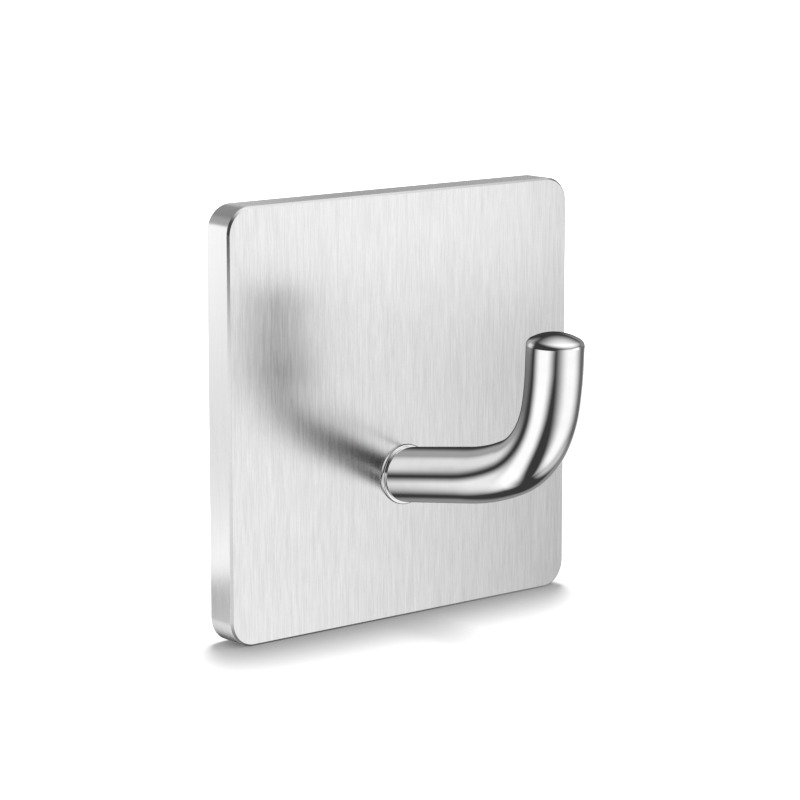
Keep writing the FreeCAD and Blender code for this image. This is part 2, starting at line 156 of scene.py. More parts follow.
def gridPiece(name, rows, materials, slots=None, closed=False):
    # A surface through rings of points, rows by columns. The columns close, and so do the rows, or else
    # the first and last ring are poles. Each point's normal is the sum of the areas round it.
    rowCount, columnCount = rows.shape[:2]
    number = np.arange(rowCount * columnCount).reshape(rowCount, columnCount)
    if not closed:
        number[0], number[-1] = number[0, 0], number[-1, 0]
    used, number = np.unique(number, return_inverse=True)
    number = number.reshape(rowCount, columnCount)
    points = rows.reshape(-1, 3)[used] * mm
    beyond = np.roll(number, -1, 0)
    bands = np.stack([number, np.roll(number, -1, 1), np.roll(beyond, -1, 1), beyond], -1)
    if not closed:
        bands = bands[:-1]
    quads = bands.reshape(-1, 4)
    corner = points[quads]
    volume = (corner[:, 0] * np.cross(corner[:, 1], corner[:, 2])
              + corner[:, 0] * np.cross(corner[:, 2], corner[:, 3])).sum()
    outward = 1 if volume > 0 else -1
    areas = np.cross(corner[:, 2] - corner[:, 0], corner[:, 3] - corner[:, 1]) * outward
    normals = np.zeros_like(points)
    np.add.at(normals, quads, areas[:, None])
    if closed:
        faces = quads[:, ::outward].tolist()
    else:
        faces = bands[0][:, [0, 2, 3]][:, ::outward].tolist()
        faces += bands[1:-1].reshape(-1, 4)[:, ::outward].tolist()
        faces += bands[-1][:, :3][:, ::outward].tolist()
    mesh = bpy.data.meshes.new(name)
    mesh.from_pydata(points, [], faces)
    for material in materials:
        mesh.materials.append(material)
    if slots is not None:
        mesh.polygons.foreach_set("material_index", np.repeat(slots, columnCount).astype(np.int32))
    mesh.shade_smooth()
    mesh.normals_split_custom_set_from_vertices(unit(normals).tolist())
    return newObject(name, mesh)


# Materials from nodes

def newMaterial(name, plain):
    # A shader with its plain values set on its own sockets.
    material = bpy.data.materials.new(name)
    material.use_nodes = True
    shader = material.node_tree.nodes["Principled BSDF"]
    for socket, value in plain.items():
        shader.inputs[socket].default_value = value
    return material, material.node_tree, shader


def addNode(tree, kind, links=None, **settings):
    # A node with its settings; each of its sockets gets a value or another node's output.
    node = tree.nodes.new(kind)
    for setting, value in settings.items():
        setattr(node, setting, value)
    for socket, value in (links or {}).items():
        if isinstance(value, bpy.types.NodeSocket):
            tree.links.new(value, node.inputs[socket])
        else:
            node.inputs[socket].default_value = value
    return node


def stretchedNoise(tree, featureSize, detail=2.0, roughness=0.5):
    # Noise whose features measure the three sizes in millimetres along X, Y and Z.
    place = addNode(tree, "ShaderNodeTexCoord").outputs["Object"]
    scale = [1 / (size * mm) for size in featureSize]
    scaled = addNode(tree, "ShaderNodeMapping", {"Vector": place, "Scale": scale})
    noise = addNode(tree, "ShaderNodeTexNoise",
                    {"Vector": scaled.outputs[0], "Scale": 1.0, "Detail": detail, "Roughness": roughness})
    return noise.outputs["Fac"]


def mathNode(tree, operation, first, second=0.0):
    return addNode(tree, "ShaderNodeMath", {0: first, 1: second}, operation=operation).outputs[0]


def weightedSum(tree, first, second, shares):
    parts = [mathNode(tree, "MULTIPLY", value, share) for value, share in zip((first, second), shares)]
    return mathNode(tree, "ADD", *parts)


def vectorNode(tree, operation, first, second=(0, 0, 0)):
    outputs = addNode(tree, "ShaderNodeVectorMath", {0: first, 1: second}, operation=operation).outputs
    return outputs["Value" if operation == "LENGTH" else "Vector"]


def remap(tree, value, low, high, toLow, toHigh):
    return addNode(tree, "ShaderNodeMapRange", {"Value": value, "From Min": low, "From Max": high,
                                                "To Min": toLow, "To Max": toHigh}).outputs[0]


noiseSpan = (0.3, 0.7)  # most values of a noise lie between these


def tintBy(tree, shader, value, look, span=noiseSpan):
    # The base colour goes from the look's dark to its light while the value crosses the span.
    ramp = addNode(tree, "ShaderNodeValToRGB", {"Fac": value})
    ramp.color_ramp.elements[0].position = span[0]
    ramp.color_ramp.elements[0].color = (*look["dark"], 1)
    ramp.color_ramp.elements[1].position = span[1]
    ramp.color_ramp.elements[1].color = (*look["light"], 1)
    tree.links.new(ramp.outputs["Color"], shader.inputs["Base Color"])


def glossBy(tree, shader, value, look):
    # The roughness goes from the look's first to its second while the value crosses a noise's span.
    tree.links.new(remap(tree, value, *noiseSpan, *look["roughness"]), shader.inputs["Roughness"])


def raiseBy(tree, shader, height, rise):
    # A bump whose full height is the rise in millimetres.
    bump = addNode(tree, "ShaderNodeBump", {"Height": height, "Distance": rise * mm})
    tree.links.new(bump.outputs["Normal"], shader.inputs["Normal"])


brushedFaceLook = {
    "dark": (0.67, 0.67, 0.675),
    "light": (0.86, 0.86, 0.865),
    "roughness": (0.22, 0.25),
    "anisotropy": 0.3,
    "fineStreak": (0.13, 0.13, 2.6),   # the size of a streak along X, Y and Z: the face is brushed upright
    "broadStreak": (0.6, 0.6, 9.0),
    "streakShares": (0.7, 0.3),        # of the fine and of the broad streaks
    "streakDepth": 0.0006,
    "smear": (1.0, 0.0, 0.0),          # reflections spread across the brushing
}

brushedEdgeLook = {
    "dark": (0.78, 0.78, 0.78),
    "light": (0.88, 0.88, 0.88),
    "roughness": (0.22, 0.28),
    "anisotropy": 0.8,
    "fineStreak": (3.0, 0.12, 3.0),    # the edge is brushed along its length, all the way round
    "broadStreak": (12.0, 0.6, 12.0),
    "streakShares": (0.7, 0.3),
    "streakDepth": 0.0005,
    "smear": (0.0, 1.0, 0.0),
}


def brushedSteel(name, look):
    # Streaks: fine and broad noise, long along the brushing, tint the steel, vary its gloss and score it.
    material, tree, shader = newMaterial(name, {"Metallic": 1.0, "Anisotropic": look["anisotropy"]})
    fine = stretchedNoise(tree, look["fineStreak"], detail=3.0, roughness=0.6)
    broad = stretchedNoise(tree, look["broadStreak"])
    streaks = weightedSum(tree, fine, broad, look["streakShares"])
    tintBy(tree, shader, streaks, look)
    glossBy(tree, shader, streaks, look)
    raiseBy(tree, shader, fine, look["streakDepth"])
    smear = addNode(tree, "ShaderNodeCombineXYZ", dict(zip("XYZ", look["smear"])))
    tree.links.new(smear.outputs[0], shader.inputs["Tangent"])
    return material


polishedLook = {
    "dark": (0.86, 0.86, 0.86),
    "light": (0.90, 0.90, 0.90),
    "roughness": (0.035, 0.055),
    "haze": (1.6, 1.6, 1.6),           # size of the cloudy patches that polishing leaves
    "scratch": (0.25, 3.0, 3.0),       # size of a faint scratch along X, Y and Z
    "scratchDepth": 0.00002,
}


def polishedSteel(name, look):
    # Polish: cloudy noise varies tint and gloss a little, and faint scratches lie along the bar.
    material, tree, shader = newMaterial(name, {"Metallic": 1.0})
    haze = stretchedNoise(tree, look["haze"])
    scratch = stretchedNoise(tree, look["scratch"], detail=4.0)
    tintBy(tree, shader, haze, look)
    glossBy(tree, shader, haze, look)
    raiseBy(tree, shader, scratch, look["scratchDepth"])
    return material


screwLook = {
    "dark": (0.42, 0.42, 0.43),
    "light": (0.60, 0.60, 0.60),
    "roughness": (0.28, 0.42),
    "turning": (8.0, 0.08, 8.0),
    "turningDepth": 0.0008,
}


def turnedSteel(name, look):
    # Turning marks: noise thin along the screw's axis and long round it, darker in the marks.
    material, tree, shader = newMaterial(name, {"Metallic": 1.0})
    marks = stretchedNoise(tree, look["turning"], detail=3.0)
    tintBy(tree, shader, marks, look)
    glossBy(tree, shader, marks, look)
    raiseBy(tree, shader, marks, look["turningDepth"])
    return material


adhesiveLook = {
    "dark": (0.78, 0.76, 0.70),
    "light": (0.88, 0.87, 0.82),
    "roughness": (0.12, 0.3),
    "mottle": (2.4, 2.4, 2.4),
    "ripple": (0.5, 0.5, 0.5),
    "rippleDepth": 0.006,
}


def adhesiveFilm(name, look):
    # Adhesive: a pale glossy film, mottled where it wets the foam and slightly rippled.
    material, tree, shader = newMaterial(name, {"Coat Weight": 0.4, "Coat Roughness": 0.1})
    mottle = stretchedNoise(tree, look["mottle"], detail=4.0)
    ripple = stretchedNoise(tree, look["ripple"])
    tintBy(tree, shader, mottle, look)
    glossBy(tree, shader, mottle, look)
    raiseBy(tree, shader, ripple, look["rippleDepth"])
    return material


foamLook = {
    "dark": (0.52, 0.52, 0.51),
    "light": (0.80, 0.80, 0.78),
    "cell": 0.22,
    "cellShadeSpan": (0.15, 0.6),  # distance from a cell's middle, as a share of its size, from dark to light
    "cellDepth": 0.05,
}


def closedCellFoam(name, look):
    # Foam: round cells from the distance to scattered points, high at their walls and low in their middles,
    # which are darkened as a painted shade in the pits.
    material, tree, shader = newMaterial(name, {"Roughness": 0.9, "Sheen Weight": 0.15})
    place = addNode(tree, "ShaderNodeTexCoord").outputs["Object"]
    cells = addNode(tree, "ShaderNodeTexVoronoi", {"Vector": place, "Scale": 1 / (look["cell"] * mm)})
    distance = cells.outputs["Distance"]
    # painted shade: the tint is darkest in each cell's sunken middle
    tintBy(tree, shader, distance, look, look["cellShadeSpan"])
    raiseBy(tree, shader, distance, look["cellDepth"])
    return material


linerLook = {
    "dark": (0.80, 0.79, 0.75),
    "light": (0.90, 0.89, 0.86),
    "roughness": (0.38, 0.5),
    "fibre": (0.9, 0.9, 0.12),
    "cloud": (6.0, 6.0, 6.0),
    "pulpShares": (0.4, 0.6),          # of the fibres and of the clouds in the tint
    "pulpSpan": (0.35, 0.65),
    "fibreDepth": 0.003,
}


def releasePaper(name, look):
    # Paper: cloudy pulp tints it, and short fibres raise it.
    material, tree, shader = newMaterial(name, {"Coat Weight": 0.2, "Coat Roughness": 0.25})
    fibre = stretchedNoise(tree, look["fibre"], detail=4.0)
    cloud = stretchedNoise(tree, look["cloud"], detail=3.0)
    pulp = weightedSum(tree, fibre, cloud, look["pulpShares"])
    tintBy(tree, shader, pulp, look, look["pulpSpan"])
    glossBy(tree, shader, cloud, look)
    raiseBy(tree, shader, fibre, look["fibreDepth"])
    return material


brushedFace = brushedSteel("brushedFace", brushedFaceLook)
brushedEdge = brushedSteel("brushedEdge", brushedEdgeLook)
polishedBar = polishedSteel("polishedBar", polishedLook)
screwSteel = turnedSteel("screwSteel", screwLook)
adhesive = adhesiveFilm("adhesive", adhesiveLook)
foam = closedCellFoam("foam", foamLook)
linerPaper = releasePaper("linerPaper", linerLook)
print("materials ready")


# Face plate

plateShape = {
    "corner": 2.8,
    "frontBevel": 0.22,
    "rearBevel": 0.15,
    "rim": 1.9,
    "pocketDepth": 0.6,
    "pocketCorner": 1.8,
    "seatRadius": 2.23,
    "seatHalfWidth": 1.93,
    "seatDepth": 1.1,
    "shankHole": 1.7,
    "sinkMouth": 2.95,
    "edgeRounding": 0.03,
    "faceRings": 14,
    "arcSteps": 16,
    "sideSteps": 24,
}


def makePlate(shape):
    # One closed skin: front face, bevel, side, rear rim, pad pocket, screw sink, hole and spigot seat.
    front, rear, half = plateLow[1], plateHigh[1], plateHigh[0]
    floor = rear - shape["pocketDepth"]
    soft = shape["edgeRounding"]
    margin = 0.5  # the first and last points of a path lie this far from its first and last bend

    rimPath = softCorners([
        (shape["frontBevel"] + margin, front),
        (shape["frontBevel"], front),
        (0, front + shape["frontBevel"]),
        (0, rear - shape["rearBevel"]),
        (shape["rearBevel"], rear),
        (shape["rim"], rear),
        (shape["rim"], floor),
        (shape["rim"] + margin, floor),
    ], soft)
    inset, depth = rimPath.T
    corner = np.interp(inset, [0, shape["frontBevel"], shape["rim"]],
                       [shape["corner"], shape["corner"] - shape["frontBevel"], shape["pocketCorner"]])
    steps = (shape["arcSteps"], shape["sideSteps"])
    rim = np.array([squareRing(half - i, c, *steps) for i, c in zip(inset, corner)])

    seatFloor = front + shape["seatDepth"]
    holePath = softCorners([
        (shape["sinkMouth"] + margin, floor),
        (shape["sinkMouth"], floor),
        (shape["shankHole"], floor - shape["sinkMouth"] + shape["shankHole"]),
        (shape["shankHole"], seatFloor),
        (shape["seatRadius"], seatFloor),
        (shape["seatRadius"], front),
        (shape["seatRadius"] + margin, front),
    ], soft)
    radius, holeDepth = holePath.T[:, :, None]
    outward = unit(rim[0] - (0, axisHeight))
    flat = (shape["seatHalfWidth"] + np.maximum(radius - shape["seatRadius"], 0)) / np.abs(outward[:, 0])
    reach = np.where(holeDepth < seatFloor + soft, np.minimum(radius, flat), radius + 0 * flat)
    hole = (0, axisHeight) + reach[..., None] * outward

    shares = np.linspace(0, 1, shape["faceRings"])[1:-1]
    pocketFloor = between(rim[-1], hole[0], shares)
    frontFace = between(hole[-1], rim[0], shares)
    rows = np.concatenate([
        atDepth(rim, depth),
        atDepth(pocketFloor, np.full(len(shares), floor)),
        atDepth(hole, holeDepth[:, 0]),
        atDepth(frontFace, np.full(len(shares), front)),
    ])
    y = (rows[:, 0, 1] + np.roll(rows[:, 0, 1], -1)) / 2
    slots = np.where(y < front + hair, 0, 1)
    piece = gridPiece("facePlateSkin", rows, [brushedFace, brushedEdge], slots, closed=True)
    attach(piece, "hook")
    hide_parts("face_plate")
    return piece


makePlate(plateShape)
print("face plate made")


# Bent bar

barShape = {
    "rootAngle": 8.9,
    "rootLength": 10.5,
    "sweepRadius": 27.0,
    "sweepAngle": 14.5,
    "bendRadius": 9.45,
    "bendAngle": 55.1,
    "legRadius": 25.0,
    "legAngle": 9.1,
    "tipLength": 2.4,
    "crownHeight": 1.35,
    "crownRim": 0.8,
    "radius": 2.9,
    "shoulderRounding": 0.08,
    "mitreLength": 1.0,      # the bar's rings turn square to its path over this length
    "spigotRadius": 2.2,
    "spigotHalfWidth": 1.9,
    "spigotLength": 1.4,
    "spigotBevel": 0.1,
    "holeDepth": 3.55,
    "holeRoot": 1.52,
    "holeCrest": 1.26,
    "holeMouth": 0.18,
    "drillHalfAngle": 59.0,
    "columns": 144,
    "rings": {"shoulder": 6, "mitre": 5, "root": 9, "sweep": 20, "bend": 48, "leg": 14, "tip": 5,
              "crownRim": 9, "dome": 22},
}


def makeBar(shape):
    # The tapped hole, the flatted spigot and the shoulder are rings flat to the plate. The bar is rings
    # square to a path that rises from the shoulder: a straight root, three arcs and a straight tip. The
    # crown is an arc at its rim and a dome tangent to it.
    angles = ringAngles(shape["columns"])
    rings = shape["rings"]
    shoulder = collarLow[1]
    spigotEnd = shoulder + shape["spigotLength"]
    holeEnd = shoulder - shape["holeDepth"]
    holeTip = holeEnd - shape["holeRoot"] / math.tan(math.radians(shape["drillHalfAngle"]))
    bevel = shape["spigotBevel"]
    radius = shape["radius"]
    soft = shape["shoulderRounding"]
    rise = math.radians(shape["rootAngle"])

    threadDepth, thread = threadRings(holeEnd, spigotEnd - shape["holeMouth"], angles,
                                      shape["holeRoot"], shape["holeCrest"])
    flat = shape["spigotHalfWidth"] / np.maximum(np.abs(np.cos(angles)), hair)
    spigot = np.minimum(shape["spigotRadius"], flat)
    spigotRows = turned([
        (holeTip, 0),
        (holeEnd, shape["holeRoot"]),
        *zip(threadDepth[1:], thread[1:]),
        (spigotEnd, shape["holeRoot"] + shape["holeMouth"]),
        (spigotEnd, spigot - bevel),
        (spigotEnd - bevel, spigot),
        (shoulder + bevel, spigot),
        (shoulder, spigot),
    ], angles)

    edge = np.linspace(0, math.pi / 2, rings["shoulder"])[:, None]
    edgeDepth = soft - soft * np.cos(edge)
    edgeRadius = radius - soft + soft * np.sin(edge)
    shoulderRows = np.stack([
        edgeRadius * np.cos(angles),
        shoulder - edgeDepth + 0 * angles,
        axisHeight + edgeDepth * math.tan(rise) + edgeRadius * np.sin(angles) / math.cos(rise),
    ], -1)

    def pathRows(reach, height, lean, ringRadius):
        # Rings square to the path, which is given by its reach from the shoulder, height and lean.
        x = ringRadius * np.cos(angles)
        up = ringRadius * np.sin(angles)
        y = shoulder - reach + up * np.sin(lean)
        z = axisHeight + height + up * np.cos(lean)
        return np.stack(np.broadcast_arrays(x, y, z), -1)

    cutLine = (soft + radius * np.sin(angles) * math.sin(rise)) / math.cos(rise)
    mitre = cutLine + (shape["mitreLength"] - cutLine) * np.linspace(0, 1, rings["mitre"])[1:, None]
    mitreRows = pathRows(mitre * math.cos(rise), mitre * math.sin(rise), rise, radius)

    root = np.linspace(shape["mitreLength"], shape["rootLength"], rings["root"])[1:]
    reach, height, lean = [root * math.cos(rise)], [root * math.sin(rise)], [np.full(len(root), rise)]
    for arc in ("sweep", "bend", "leg"):
        before, arcRadius = lean[-1][-1], shape[arc + "Radius"]
        turn = before + np.linspace(0, math.radians(shape[arc + "Angle"]), rings[arc])[1:]
        reach.append(reach[-1][-1] + arcRadius * (np.sin(turn) - math.sin(before)))
        height.append(height[-1][-1] + arcRadius * (math.cos(before) - np.cos(turn)))
        lean.append(turn)

    crown, rim = shape["crownHeight"], shape["crownRim"]
    rimCentre = radius - rim
    domeRadius = (crown ** 2 + rimCentre ** 2 - rim ** 2) / (2 * (crown - rim))
    domeEdge = math.atan2(rimCentre, domeRadius - crown)
    rimTurn = np.linspace(0, math.pi / 2 - domeEdge, rings["crownRim"])[1:]
    domeTurn = np.linspace(domeEdge, 0, rings["dome"])[1:]
    tip = np.linspace(0, shape["tipLength"], rings["tip"])[1:]
    along = np.concatenate([
        tip,
        tip[-1] + rim * np.sin(rimTurn),
        tip[-1] + crown - domeRadius + domeRadius * np.cos(domeTurn),
    ])
    barRadius = np.concatenate([
        np.full(sum(map(len, lean)) + len(tip), radius),
        rimCentre + rim * np.cos(rimTurn),
        domeRadius * np.sin(domeTurn),
    ])
    reach.append(reach[-1][-1] + along * math.cos(lean[-1][-1]))
    height.append(height[-1][-1] + along * math.sin(lean[-1][-1]))
    lean.append(np.full(len(along), lean[-1][-1]))
    reach, height, lean = (np.concatenate(part)[:, None] for part in (reach, height, lean))
    barRows = pathRows(reach, height, lean, barRadius[:, None])

    rows = np.concatenate([spigotRows, shoulderRows, mitreRows, barRows])
    piece = gridPiece("bentBar", rows, [polishedBar])
    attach(piece, "hook")
    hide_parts("hook_bar")
    return piece


makeBar(barShape)
print("bent bar made")


# Collar at the bar's root

collarShape = {
    "bore": 2.23,
    "frontRounding": 0.15,
    "otherRounding": 0.03,
    "cornerSteps": 8,
    "columns": 144,
}


def makeCollar(shape):
    # A ring: its rounded section of radius and depth is turned about the bar's axis.
    rear, front, outer = collarHigh[1], collarLow[1], collarHigh[0]
    corners = [(shape["bore"], rear), (outer, rear), (outer, front), (shape["bore"], front)]
    rounding = np.full(4, shape["otherRounding"])
    rounding[2] = shape["frontRounding"]
    section = softLoop(corners, rounding, shape["cornerSteps"])
    rows = turned(section[:, ::-1], ringAngles(shape["columns"]))
    piece = gridPiece("rootCollar", rows, [polishedBar], closed=True)
    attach(piece, "hook")
    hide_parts("base_collar")
    return piece


makeCollar(collarShape)
print("collar made")


# Countersunk screw

screwShape = {
    "headLand": 0.15,
    "headBevel": (0.06, 0.04),    # across the head and along the axis
    "socketWidth": 2.0,
    "socketDepth": 1.1,
    "socketMouth": 0.12,
    "socketPoint": 0.35,          # the drill's point under the socket's floor
    "socketFloor": (0.98, 0.02),  # the floor as a share of the width, and the height of its edge
    "crest": 1.48,
    "root": 1.2,
    "shank": 1.5,
    "tipBevel": 0.3,
    "endInset": 0.3,
    "runOut": 0.5,
    "threadLead": 0.1,            # the plain shank narrows to the thread over this length
    "columns": 144,
}


def makeScrew(shape):
    # Rings along the axis: a hexagonal socket, the head's cone, a short plain shank, the thread and its end.
    angles = ringAngles(shape["columns"])
    rear, end, head = screwHigh[1], screwLow[1], screwHigh[0]
    sixth = math.pi / 3
    hexagon = shape["socketWidth"] / 2 / np.cos(angles % sixth - sixth / 2)
    socketFloor = rear - shape["socketDepth"]
    floorShare, floorEdge = shape["socketFloor"]
    acrossHead, alongHead = shape["headBevel"]
    coneEnd = rear - shape["headLand"] - (head - shape["shank"])
    threadStart = coneEnd - shape["runOut"]
    threadDepth, thread = threadRings(threadStart, end, angles, shape["root"], shape["crest"])
    thread = np.minimum(thread, shape["crest"] - shape["tipBevel"] + threadDepth[:, None] - end)
    rows = turned([
        (socketFloor - shape["socketPoint"], 0),
        (socketFloor, hexagon * floorShare),
        (socketFloor + floorEdge, hexagon),
        (rear - shape["socketMouth"], hexagon),
        (rear, np.max(hexagon) + shape["socketMouth"]),
        (rear, head - acrossHead),
        (rear - alongHead, head),
        (rear - shape["headLand"], head),
        (coneEnd, shape["shank"]),
        (threadStart + shape["threadLead"], shape["shank"]),
        *zip(threadDepth, thread),
        (end, shape["root"] - shape["endInset"]),
        (end, 0),
    ], angles)
    piece = gridPiece("countersunkScrew", rows, [screwSteel])
    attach(piece, "hook")
    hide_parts("fixing_screw")
    return piece


makeScrew(screwShape)
print("screw made")


# Mounting pad: foam between two adhesive films

padShape = {
    "corner": 1.6,
    "foamBulge": 0.06,
    "filmBulge": 0.01,
    "faceRings": 12,
    "edgeRings": 9,
    "arcSteps": 12,
    "sideSteps": 24,
}


def slabRows(outline, front, rear, bulge, faceRings, edgeRings):
    # A slab: the outline grows from a pole on the front, bulges as a parabola over the edge and shrinks
    # to a pole on the rear.
    grow = np.linspace(0, 1, faceRings)
    over = np.linspace(-1, 1, edgeRings)[1:-1]
    half = np.abs(outline).max()
    share = np.concatenate([grow, 1 + bulge / half * (1 - over ** 2), grow[::-1]])
    depth = np.concatenate([
        np.full(faceRings, front),
        (front + rear) / 2 + over * (rear - front) / 2,
        np.full(faceRings, rear),
    ])
    return atDepth(share[:, None, None] * outline, depth)


def makeLayer(name, node, bulge, material, shape):
    # One layer of the pad: a slab with a rounded square outline.
    low, high = nodeSpan(node)
    outline = squareRing(high[0] - bulge, shape["corner"], shape["arcSteps"], shape["sideSteps"])
    rows = slabRows(outline, low[1], high[1], bulge, shape["faceRings"], shape["edgeRings"])
    piece = gridPiece(name, rows, [material])
    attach(piece, "hook")
    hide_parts(node)
    return piece


makeLayer("frontFilm", "front_adhesive_film", padShape["filmBulge"], adhesive, padShape)
foamPad = makeLayer("foamPad", "foam_core", padShape["foamBulge"], foam, padShape)
makeLayer("rearFilm", "rear_adhesive_film", padShape["filmBulge"], adhesive, padShape)
print("mounting pad made")


# Release liner with its pull tab

linerShape = {
    "corner": 1.6,
    "tabWidth": 12.0,
    "tabCorner": 1.2,
    "tabRoot": 0.2,
    "tabCurl": 0.2,
    "cornerSteps": 10,
    "outlinePoints": 720,
    "faceRings": 14,
    "edgeRings": 5,
}


def makeLiner(shape):
    # A paper slab: the outline has soft corners, evenly spaced points and a tab that lifts as a parabola.
    half, bottom = linerHigh[0], linerLow[2]
    tab = shape["tabWidth"] / 2
    corners = [(half, -half), (half, half), (-half, half), (-half, -half),
               (-tab, -half), (-tab, bottom), (tab, bottom), (tab, -half)]
    tabRounding = [shape["tabRoot"], shape["tabCorner"], shape["tabCorner"], shape["tabRoot"]]
    loop = softLoop(corners, np.array([shape["corner"]] * 4 + tabRounding), shape["cornerSteps"])
    loop = np.concatenate([loop, loop[:1]])
    run = np.concatenate([[0], np.cumsum(np.linalg.norm(np.diff(loop, axis=0), axis=1))])
    stations = np.linspace(0, run[-1], shape["outlinePoints"], endpoint=False)
    outline = np.stack([np.interp(stations, run, loop[:, 0]), np.interp(stations, run, loop[:, 1])], 1)
    rows = slabRows(outline, linerLow[1], linerHigh[1], 0.0, shape["faceRings"], shape["edgeRings"])
    below = np.clip((-half - rows[..., 2]) / (-half - bottom), 0, 1)
    rows[..., 1] -= shape["tabCurl"] * below ** 2
    piece = gridPiece("releaseLiner", rows, [linerPaper])
    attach(piece, "liner")
    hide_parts("release_liner")
    return piece


makeLiner(linerShape)
print("release liner made")

# The bar mirrors the studio alone, as in the photo, and not the plate and the pad behind it.
for name in ("facePlateSkin", "frontFilm", "foamPad", "rearFilm", "releaseLiner", "countersunkScrew"):
    bpy.data.objects[name].visible_glossy = False


# Studio

studio = {
    "floorSize": 4000.0,
    "floorColour": (0.9, 0.9, 0.9, 1.0),
    # The floor's own white is painted light: dim at the plate's foot, a painted shade there, and full farther
    # out.
    "footShadeGlow": 0.15,
    "glowStart": 0.0,       # the floor's own white grows from here
    "glowEnd": 18.0,        # to here, counted outwards from the plate's foot
    "footInset": 2.0,       # the foot is shorter than the plate by this at each end, for the round corners
    "ambient": 0.3,
    "domeRadius": 110.0,
    "domePlace": (0.0, -25.0, 0.0),
    "domeRings": 121,
    "domeColumns": 240,
    "lampPlace": (128.0, 158.0, 560.0),
    "lampSize": (150.0, 400.0),
    "lampPower": 2.8,
    "room": 0.045,
}

# What the metal mirrors. Azimuth 0 is straight out of the plate and grows towards +X. Each soft box has its
# middle, half width and half height, the soft width of its sides, of its bottom and of its top, how far it
# leans in azimuth per degree of elevation, and its grey level. The brightest one counts.
softBoxes = [
    {"azimuth": -110, "elevation": -36, "width": 33, "height": 35, "side": 42, "fade": (26, 8), "lean": 0.85,
     "level": 1.12},
    {"azimuth": 24, "elevation": -31, "width": 39, "height": 49, "side": 60, "fade": (34, 34), "lean": 0.0,
     "level": 1.1},
    {"azimuth": 44, "elevation": 6, "width": 20, "height": 13, "side": 18, "fade": (14, 14), "lean": 0.0,
     "level": 1.2},
    {"azimuth": 62, "elevation": -56, "width": 30, "height": 22, "side": 30, "fade": (24, 30), "lean": 0.0,
     "level": 0.62},
    {"azimuth": -140, "elevation": -44, "width": 20, "height": 26, "side": 44, "fade": (24, 20), "lean": 0.0,
     "level": 0.95},
    {"azimuth": 118, "elevation": -15, "width": 14, "height": 9, "side": 20, "fade": (12, 12), "lean": 0.0,
     "level": 1.1},
    {"azimuth": 130, "elevation": -36, "width": 40, "height": 13, "side": 24, "fade": (16, 12), "lean": 0.0,
     "level": 0.28},
    {"azimuth": 90, "elevation": -12, "width": 18, "height": 34, "side": 16, "fade": (16, 16), "lean": 0.0,
     "level": 0.15},
    {"azimuth": 105, "elevation": 16, "width": 26, "height": 14, "side": 18, "fade": (12, 12), "lean": 0.0,
     "level": 0.27},
    {"azimuth": -160, "elevation": 16, "width": 18, "height": 18, "side": 30, "fade": (18, 24), "lean": 0.0,
     "level": 0.82},
    {"azimuth": -178, "elevation": 20, "width": 24, "height": 26, "side": 20, "fade": (16, 20), "lean": 0.0,
     "level": 0.38},
]

# A round soft light overhead: the direction of its middle, its half angle, soft edge and grey level.
overhead = {"azimuth": 40, "elevation": 66, "radius": 38, "edge": 50, "level": 1.14}

# Lamps linked to the plate alone, for its narrow sides: place, size, the point they face, and level.
edgeLamps = {
    "leftEdgeLamp": {"place": (-50.0, 33.0, 3.0), "size": (36.0, 60.0), "towards": (-22.5, -2.0, 0.0),
                     "level": 0.9},
    "topEdgeLamp": {"place": (40.0, 45.0, 36.0), "size": (60.0, 28.0), "towards": (0.0, -2.0, 22.5),
                    "level": 0.45},
}


def softStep(distance, half, edge):
    # 1 inside the half width, 0 outside it, and an S curve, 3 s squared less 2 s cubed, over the edge
    # between. The edge is one width, or a pair: below the middle and above it.
    low, high = edge if isinstance(edge, tuple) else (edge, edge)
    share = np.clip((half - np.abs(distance)) / np.where(distance < 0, low, high) + 0.5, 0, 1)
    return share * share * (3 - 2 * share)


def studioLevel(directions):
    # The grey seen in each direction: the brightest of the room, the overhead light and the soft boxes.
    azimuth = np.degrees(np.arctan2(directions[:, 0], -directions[:, 1]))
    elevation = np.degrees(np.arcsin(np.clip(directions[:, 2], -1, 1)))
    middle, height = math.radians(overhead["azimuth"]), math.radians(overhead["elevation"])
    towards = (math.cos(height) * math.sin(middle), -math.cos(height) * math.cos(middle), math.sin(height))
    away = np.degrees(np.arccos(np.clip(directions @ towards, -1, 1)))
    cover = softStep(away, overhead["radius"], overhead["edge"])
    level = np.maximum(studio["room"], overhead["level"] * cover)
    for box in softBoxes:
        upward = elevation - box["elevation"]
        sideways = (azimuth - box["azimuth"] - box["lean"] * upward + 180) % 360 - 180
        cover = softStep(sideways, box["width"], box["side"]) * softStep(upward, box["height"], box["fade"])
        level = np.maximum(level, box["level"] * cover)
    return level


